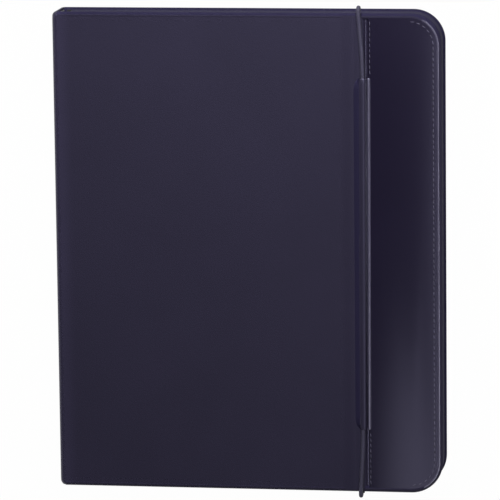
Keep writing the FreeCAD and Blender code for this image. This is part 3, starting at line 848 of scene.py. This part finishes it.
class CASE_OT_strap_lip(bpy.types.Operator):
    """The hem of the main panel that swells over the cord and ends free beside the accent panel"""

    bl_idname = "case.strap_lip"
    bl_label = "Strap lip"

    def execute(self, context):
        # The upper surface from the feathered foot over the cord to the free edge, in shares of
        # the lip's width and rise
        upper = [(-0.25, -0.12), (-0.05, -0.05), (0.08, 0.06), (0.2, 0.22), (0.32, 0.42),
                 (0.46, 0.62), (0.6, 0.77), (0.74, 0.87), (0.88, 0.92), (1.0, 0.78)]
        # Toward its ends the lip sinks into the panel, apart from the part over the cord
        over_cord, sunk_end, cord_end, crest_share = 0.6, -0.2, 0.88, 0.55
        taper, leather, short_of_seam = 5 * MM, 0.5 * MM, 0.3 * MM
        foot, rise = LIP_LOW.x, LIP_HIGH.z - FACE
        deselect_all()
        bpy.ops.mesh.primitive_grid_add(
            x_subdivisions=len(upper) - 1, y_subdivisions=60, size=2, location=(0, 0, 0),
        )
        piece = fresh_piece("strap_hem", (1, (LIP_HIGH.y - LIP_LOW.y) / 2, 1))
        columns = sorted({round(point.co.x, 5) for point in piece.data.vertices})
        for point in piece.data.vertices:
            across, height = upper[columns.index(round(point.co.x, 5))]
            full = math.sin(min(1.0, (LIP_HIGH.y - abs(point.co.y)) / taper) * QUARTER_TURN)
            if across < over_cord:
                height = sunk_end + (height - sunk_end) * full
            else:
                height *= cord_end + (1 - cord_end) * full
            free_edge = LIP_HIGH.x - short_of_seam + seam_shift(point.co.y)
            point.co.x = foot + across * (free_edge - foot)
            point.co.z = FACE + height * rise
        apply_modifier(piece, "SOLIDIFY", thickness=leather, offset=-1)
        apply_modifier(piece, "SUBSURF", levels=2, render_levels=2)
        smooth(piece, degrees=60)
        finish_piece(piece, dull_leatherette(), "matte_leatherette", "front_half", "strap_lip")
        crest = foot + crest_share * (LIP_HIGH.x - foot)

        def on_crest(face):
            return face.center.x - seam_shift(face.center.y) > crest

        finish_faces(piece, stretched_leatherette(), on_crest)
        return {"FINISHED"}


class CASE_OT_stitching(bpy.types.Operator):
    """The seam round the free edge of the accent panel and the two short seams on its inner edge"""

    bl_idname = "case.stitching"
    bl_label = "Stitching"

    def execute(self, context):
        model = self.model_stitch()
        moves = [
            Matrix.Translation((*place, 0)) @ Matrix.Rotation(direction, 4, "Z")
            for place, direction in self.seam_places()
        ]
        seam = join_copies("accent_stitching", model, moves)
        bpy.data.meshes.remove(model.data)
        finish_piece(seam, sewing_thread(), "gloss_leatherette", "front_half")
        return {"FINISHED"}

    def model_stitch(self):
        """A short rounded length of thread, a little aslant, that dips in at both ends."""
        thread, slant = sizes().thread, math.radians(7)
        above_face = 0.1 * thread
        deselect_all()
        bpy.ops.mesh.primitive_uv_sphere_add(
            segments=8, ring_count=6, radius=1, location=(0, 0, FACE + above_face),
            rotation=(0, 0, slant),
        )
        stitch = fresh_piece("stitch", (sizes().stitch_length / 2, thread / 2, thread / 2))
        bpy.ops.object.shade_smooth()
        return stitch

    def seam_places(self):
        """Middle and direction of every stitch, along straight runs and round the corners."""
        pitch, inset = sizes().stitch_pitch, sizes().seam_inset
        count = int(2 * CORNER_Y / pitch)
        for step in range(count):
            yield (FREE_EDGE - inset, CORNER_Y - (step + 0.5) * 2 * CORNER_Y / count), QUARTER_TURN
        radius = CORNER_RADIUS - inset
        bends = int(radius * QUARTER_TURN / pitch)
        for side in (1, -1):
            for step in range(bends):
                angle = (step + 0.5) * QUARTER_TURN / bends
                x = CORNER_X + radius * math.cos(angle)
                y = CORNER_Y + radius * math.sin(angle)
                yield (x, side * y), side * (angle + QUARTER_TURN)
        inner, seam_gap = ACCENT_LOW.x + 0.9 * MM, 1.5 * MM
        short_run = PANEL_HIGH.y - seam_gap - LIP_HIGH.y
        for side in (1, -1):
            for step in range(int(short_run / pitch)):
                y = side * (LIP_HIGH.y + seam_gap + (step + 0.5) * pitch)
                yield (inner + seam_shift(y), y), QUARTER_TURN


class CASE_OT_spine_and_folds(bpy.types.Operator):
    """The spine's leather and the two folds between it and the covers"""

    bl_idname = "case.spine_and_folds"
    bl_label = "Spine and folds"

    def execute(self, context):
        spine = self.wrap_round_board()
        finish_piece(spine, matte_leatherette(), "matte_leatherette", "spine", "spine_skin")
        radius = SPINE_LOW.z
        folds = (
            ("rear_fold", radius, 0, math.pi, "rear_half", "rear_crease"),
            ("front_fold", FACE - radius, FACE, QUARTER_TURN, "front_half", "front_crease"),
        )
        bent, lining = stretched_leatherette(), microfibre()
        for name, level, cover_level, first_angle, cover, node in folds:
            piece = self.quarter_fold(name, level, radius, first_angle)
            finish_piece(piece, bent, "matte_leatherette", None, node)
            self.line_inside(piece, lining, level)
            cover_end, spine_end = (FOLD_LINE, 0, cover_level), (SPINE_LOW.x, 0, level)
            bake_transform(piece)
            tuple(cover_end)
            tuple(spine_end)
        return {"FINISHED"}

    def wrap_round_board(self):
        """One piece of leather, round at its outer corners and hollow where the board sits."""
        corner_round = 2.6 * MM
        board_low, board_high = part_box("spine_board")
        wall = board_low.z - SPINE_LOW.z
        spine = block_between("spine_leather", SPINE_LOW, Vector((board_high.x, *SPINE_HIGH.yz)))

        def outer_corner(a, b):
            return near(a.x, SPINE_LOW.x) and near(b.x, SPINE_LOW.x) and near(a.y, b.y)

        def inner_side(*corners):
            return all(near(corner.x, board_high.x) for corner in corners)

        bevel_edges(spine, outer_corner, corner_round, segments=8)
        edit_chosen(spine, "FACE", inner_side)
        bpy.ops.mesh.inset(thickness=wall)
        object_mode()
        for point in spine.data.vertices:
            if near(abs(point.co.y), SPINE_HIGH.y - wall):
                point.co.y = math.copysign(board_high.y, point.co.y)
        edit_mode()
        extrude((board_low.x - board_high.x, 0, 0))
        object_mode()
        smooth(spine, degrees=40)
        weight_normals(spine)
        return spine

    def quarter_fold(self, name, level, radius, first_angle):
        """A strip of leather bent a quarter turn, flush outside with the cover and the spine."""
        turned_in, left_open, crowding = 3 * MM, 0.3, 1.6
        last = HEAD_EDGE - SKIN / 2
        deselect_all()
        bpy.ops.mesh.primitive_grid_add(x_subdivisions=16, y_subdivisions=130, size=1, location=(0, 0, 0))
        piece = fresh_piece(name)
        for point in piece.data.vertices:
            angle = first_angle + (point.co.x + 0.5) * QUARTER_TURN
            # The rows crowd toward the ends, where the leather is turned in and closes the fold
            from_end = last * (1 - 2 * abs(point.co.y)) ** crowding
            closed = 1 - min(1.0, from_end / turned_in)
            roundness = left_open + (1 - left_open) * math.sqrt(1 - closed ** 2)
            reach = (radius - SKIN / 2) * roundness
            point.co.x = FOLD_LINE + reach * math.cos(angle)
            point.co.y = math.copysign(last - from_end, point.co.y)
            point.co.z = level + reach * math.sin(angle)
        mend(piece)
        apply_modifier(piece, "SOLIDIFY", thickness=SKIN, offset=0)
        smooth(piece, degrees=50)
        return piece

    def line_inside(self, piece, lining, level):
        """Gives the lining to the side of a fold that faces its axis."""
        def faces_axis(face):
            outward = Vector((face.center.x - FOLD_LINE, 0, face.center.z - level))
            return outward.dot(face.normal) < 0

        finish_faces(piece, lining, faces_axis)


class CASE_OT_rear_panel(bpy.types.Operator):
    """The matte leather of the rear cover"""

    bl_idname = "case.rear_panel"
    bl_label = "Rear panel"

    def execute(self, context):
        low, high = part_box("rear_skin")
        piece = block_between("rear_panel", low, high)
        round_free_corners(piece, high.x)

        def free_rim(a, b):
            outside = near(a.z, low.z) and near(b.z, low.z)
            return outside and not (near(a.x, low.x) and near(b.x, low.x))

        bevel_edges(piece, free_rim, sizes().panel_soften, segments=4)
        smooth(piece, degrees=40)
        finish_piece(piece, matte_leatherette(), "matte_leatherette", "rear_half", "rear_skin")
        return {"FINISHED"}


class CASE_OT_linings(bpy.types.Operator):
    """The microfibre faces inside the covers and spine, and the pad on the tray's floor"""

    bl_idname = "case.linings"
    bl_label = "Linings"

    def execute(self, context):
        material = microfibre()
        layers = (
            ("front_lining", "front_half", "front_board"), ("rear_lining", "rear_half", "rear_board"),
            ("spine_lining", "spine", "spine_board"), ("tray_pad", "rear_half", "tablet_tray"),
        )
        for node, body, below in layers:
            piece = soften(node, f"{node}_cloth", width=0.12 * MM)
            finish_piece(piece, material, "microfibre", body, node)
            low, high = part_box(node)
        return {"FINISHED"}


class CASE_OT_surrounds(bpy.types.Operator):
    """The padded, leather-wrapped frames round the tray and the keyboard"""

    bl_idname = "case.surrounds"
    bl_label = "Surrounds"

    def execute(self, context):
        dull = dull_leatherette()
        for node, body in (("tray_surround", "rear_half"), ("keyboard_surround", "front_half")):
            piece = soften(node, f"{node}_leather", width=0.4 * MM, segments=3)
            finish_piece(piece, dull, "matte_leatherette", body, node)
        return {"FINISHED"}


class CASE_OT_casings(bpy.types.Operator):
    """The tablet tray and the keyboard's deck and base"""

    bl_idname = "case.casings"
    bl_label = "Tray and keyboard casings"

    def execute(self, context):
        plastic = moulded_plastic("Textured ABS", colours().casing, roughness=0.5, spark=0.4 * MM)
        casings = (
            ("tablet_tray", "rear_half", "tray_plastic"),
            ("keyboard_deck", "front_half", "casing_plastic"),
            ("keyboard_base", "front_half", "casing_plastic"),
        )
        for node, body, slot in casings:
            piece = soften(node, f"{node}_moulding", sizes().case_round)
            finish_piece(piece, plastic, slot, body, node)
        return {"FINISHED"}


class CASE_OT_keys(bpy.types.Operator):
    """Every keycap with rounded edges, each group on its own body, and the two controls"""

    bl_idname = "case.keys"
    bl_label = "Keys"

    def execute(self, context):
        plastic = moulded_plastic("Keycap ABS", colours().keycap, roughness=0.42, spark=0.25 * MM)
        for node in KEY_NODES:
            piece = soften(node, f"{node}_caps", sizes().key_round, segments=3)
            finish_piece(piece, plastic, "keycap_plastic", node, node)
        for node in ("power_switch", "pairing_button"):
            piece = soften(node, f"{node}_cap", width=0.25 * MM, segments=3)
            finish_piece(piece, plastic, "keycap_plastic", node, node)
        return {"FINISHED"}


class CASE_OT_key_domes(bpy.types.Operator):
    """The rubber dome under each keycap, and the deck's soft pads"""

    bl_idname = "case.key_domes"
    bl_label = "Key domes and pads"

    def execute(self, context):
        black = linear_colour("#242426")
        rubber = moulded_plastic("Silicone rubber", black, roughness=0.7, spark=0.5 * MM)
        low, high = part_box("key_domes")
        model = self.model_dome(low.z, high.z)
        for node in KEY_NODES:
            moves = [Matrix.Translation((*middle, 0)) for middle in self.cap_middles(node)]
            group = join_copies(f"{node}_domes", model, moves)
            finish_piece(group, rubber, "soft_rubber", "front_half", "key_domes")
            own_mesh(group)
        bpy.data.meshes.remove(model.data)
        pads = soften("screen_bumpers", "screen_pads", width=0.3 * MM, segments=3)
        finish_piece(pads, rubber, "soft_rubber", "front_half", "screen_bumpers")
        return {"FINISHED"}

    def model_dome(self, low, high):
        """A bell: a wide foot on the contact sheet, a flared wall and a flat crown under the cap."""
        foot_radius, crown_radius, crown_round = 2.6 * MM, 1.6 * MM, 0.35 * MM
        deselect_all()
        bpy.ops.mesh.primitive_cylinder_add(
            vertices=16, radius=1, depth=high - low, location=(0, 0, (low + high) / 2),
            end_fill_type="TRIFAN",
        )
        dome = fresh_piece("dome")
        for point in dome.data.vertices:
            point.co.xy *= crown_radius if near(point.co.z, low) else foot_radius

        def crown_rim(a, b):
            return all(near(end.z, low) and end.xy.length > crown_radius / 2 for end in (a, b))

        bevel_edges(dome, crown_rim, crown_round, segments=2)
        smooth(dome, degrees=50)
        return dome

    def cap_middles(self, node):
        """The middle of every separate cap in a group of keys."""
        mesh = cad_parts[node].data
        places = [tuple(round(c, 6) for c in point.co) for point in mesh.vertices]
        caps = {place: {place} for place in places}
        for face in mesh.polygons:
            cap = set().union(*(caps[places[corner]] for corner in face.vertices))
            caps.update(dict.fromkeys(cap, cap))
        for cap in {id(cap): cap for cap in caps.values()}.values():
            xs, ys = [place[0] for place in cap], [place[1] for place in cap]
            yield (min(xs) + max(xs)) / 2, (min(ys) + max(ys)) / 2


class CASE_OT_small_parts(bpy.types.Operator):
    """Materials for the pieces that keep the frame's own shapes"""

    bl_idname = "case.small_parts"
    bl_label = "Small and inner parts"

    def execute(self, context):
        steel = worn_metal("Plated steel", "#B9B9BC", roughness=0.35, brush=0.3 * MM)
        brass = worn_metal("Blackened brass", "#3A3A40", roughness=0.45, brush=0.3 * MM)
        foil = worn_metal("Pouch foil", "#C4C4CA", roughness=0.3, brush=0.6 * MM)
        board = greyboard()
        cream, green, pale = map(linear_colour, ("#C8C8BE", "#1C4A2E", "#D0D4D8"))
        film = moulded_plastic("Polyester film", cream, roughness=0.3, spark=2 * MM)
        circuit = moulded_plastic("Solder mask", green, roughness=0.35, spark=1 * MM)
        acrylic = moulded_plastic("Clear acrylic", pale, roughness=0.2, spark=1 * MM)
        finishes = {
            "front_board": board, "rear_board": board, "spine_board": board,
            "support_plate": steel, "charging_socket": steel, "keyboard_screws": steel,
            "strap_eyelets": brass, "battery": foil, "controller_board": circuit,
            "key_switch_sheet": film, "status_lights": acrylic,
        }
        for node, material in finishes.items():
            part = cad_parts[node]
            part.data.materials.clear()
            part.data.materials.append(material)
        return {"FINISHED"}


class CASE_OT_stage(bpy.types.Operator):
    """A white floor and backdrop, soft studio light and the photograph's camera"""

    bl_idname = "case.stage"
    bl_label = "Stage"

    def execute(self, context):
        context.scene.view_settings.view_transform = "Standard"
        self.add_floor_and_backdrop()
        self.add_world(context)
        for name, (place, size, power) in SOFTBOXES.items():
            self.add_softbox(name, Vector(place), size, power)
        self.add_camera(context)
        return {"FINISHED"}

    def white_paper(self):
        """It shows its own white to the camera and to shiny surfaces, and keeps soft shadows."""
        own_white = 0.985
        material = bpy.data.materials.new("White paper")
        material.use_nodes = True
        tree = material.node_tree
        tree.nodes.clear()
        path = add_node(tree, "ShaderNodeLightPath").outputs
        looked_at = add_node(
            tree, "ShaderNodeMath", {0: path["Is Camera Ray"], 1: path["Is Glossy Ray"]},
            operation="MAXIMUM",
        )
        seen = add_node(
            tree, "ShaderNodeMath", {0: looked_at.outputs["Value"], 1: path["Is Transmission Ray"]},
            operation="MAXIMUM",
        )
        share = add_node(
            tree, "ShaderNodeMath", {0: seen.outputs["Value"], 1: own_white}, operation="MULTIPLY"
        )
        paper = add_node(tree, "ShaderNodeBsdfDiffuse", {"Color": linear_colour("#C4C4C4")})
        glow = add_node(tree, "ShaderNodeEmission", {"Color": linear_colour("#FFFFFF")})
        mix = add_node(
            tree, "ShaderNodeMixShader",
            {0: share.outputs["Value"], 1: paper.outputs["BSDF"], 2: glow.outputs["Emission"]},
        )
        add_node(tree, "ShaderNodeOutputMaterial", {"Surface": mix.outputs["Shader"]})
        return material

    def add_floor_and_backdrop(self):
        width, radius, height, middle = 16, 7, 2.4, 1.1
        deselect_all()
        bpy.ops.mesh.primitive_plane_add(size=width, location=(0, 0, CAD_BOX[0][2]))
        floor = fresh_piece("floor")
        deselect_all()
        bpy.ops.mesh.primitive_cylinder_add(
            vertices=64, radius=radius, depth=height, location=(0, 0, middle),
            end_fill_type="NOTHING",
        )
        backdrop = fresh_piece("backdrop")
        material = self.white_paper()
        for sheet in (floor, backdrop):
            sheet.data.materials.append(material)

    def add_world(self, context):
        world = bpy.data.worlds.new("Studio")
        context.scene.world = world
        world.use_nodes = True
        tree = world.node_tree
        tree.nodes.clear()
        soft = add_node(
            tree, "ShaderNodeBackground",
            {"Color": linear_colour("#FFFFFF"), "Strength": WORLD_LIGHT},
        )
        add_node(tree, "ShaderNodeOutputWorld", {"Surface": soft.outputs["Background"]})

    def facing_case(self, place, up):
        """The matrix of a lamp or camera at a place that looks at the camera's aim."""
        back = (place - CAMERA_AIM).normalized()
        right = up.cross(back).normalized()
        turn = Matrix((right, back.cross(right), back)).transposed()
        return Matrix.Translation(place) @ turn.to_4x4()

    def add_softbox(self, name, place, size, power):
        deselect_all()
        bpy.ops.object.light_add(type="AREA", location=place)
        lamp = bpy.context.object
        lamp.name = name
        lamp.data.shape = "RECTANGLE"
        lamp.data.size, lamp.data.size_y = size
        lamp.data.energy = power
        lamp.matrix_world = self.facing_case(place, up=Vector((0, 1, 0)))

    def add_camera(self, context):
        data = bpy.data.cameras.new("photograph_view")
        camera = bpy.data.objects.new("photograph_view", data)
        context.scene.collection.objects.link(camera)
        data.sensor_width = SENSOR_WIDTH
        data.lens = CAMERA_LENS
        data.clip_end = FARTHEST_SEEN
        camera.matrix_world = self.facing_case(CAMERA_PLACE, CAMERA_UP)
        context.scene.camera = camera


OPERATORS = (
    CASE_OT_elastic_cord, CASE_OT_main_panel, CASE_OT_accent_panel, CASE_OT_edge_bindings,
    CASE_OT_strap_lip, CASE_OT_stitching, CASE_OT_spine_and_folds, CASE_OT_rear_panel,
    CASE_OT_linings, CASE_OT_surrounds, CASE_OT_casings, CASE_OT_keys, CASE_OT_key_domes,
    CASE_OT_small_parts, CASE_OT_stage,
)


class CASE_PT_panel(bpy.types.Panel):
    """Lists the sizes and colours of the case and its pieces"""

    bl_idname = "CASE_PT_panel"
    bl_label = "Keyboard Case"
    bl_space_type = "VIEW_3D"
    bl_region_type = "UI"
    bl_category = "Keyboard Case"

    def draw(self, context):
        for group in (context.scene.case_sizes, context.scene.case_colours):
            for name in group.bl_rna.properties.keys():
                if name not in ("rna_type", "name"):
                    self.layout.prop(group, name)
        for operator in OPERATORS:
            self.layout.operator(operator.bl_idname)


CLASSES = (CaseSizes, CaseColours, *OPERATORS, CASE_PT_panel)


def register():
    for item in CLASSES:
        bpy.utils.register_class(item)
    bpy.types.Scene.case_sizes = bpy.props.PointerProperty(type=CaseSizes)
    bpy.types.Scene.case_colours = bpy.props.PointerProperty(type=CaseColours)


def unregister():
    del bpy.types.Scene.case_colours
    del bpy.types.Scene.case_sizes
    for item in reversed(CLASSES):
        bpy.utils.unregister_class(item)


def main():
    register()
    bpy.ops.case.elastic_cord()
    bpy.ops.case.main_panel()
    bpy.ops.case.accent_panel()
    bpy.ops.case.edge_bindings()
    bpy.ops.case.strap_lip()
    bpy.ops.case.stitching()
    bpy.ops.case.spine_and_folds()
    bpy.ops.case.rear_panel()
    bpy.ops.case.linings()
    bpy.ops.case.surrounds()
    bpy.ops.case.casings()
    bpy.ops.case.keys()
    bpy.ops.case.key_domes()
    bpy.ops.case.small_parts()
    bpy.ops.case.stage()


if __name__ == "__main__":
    main()
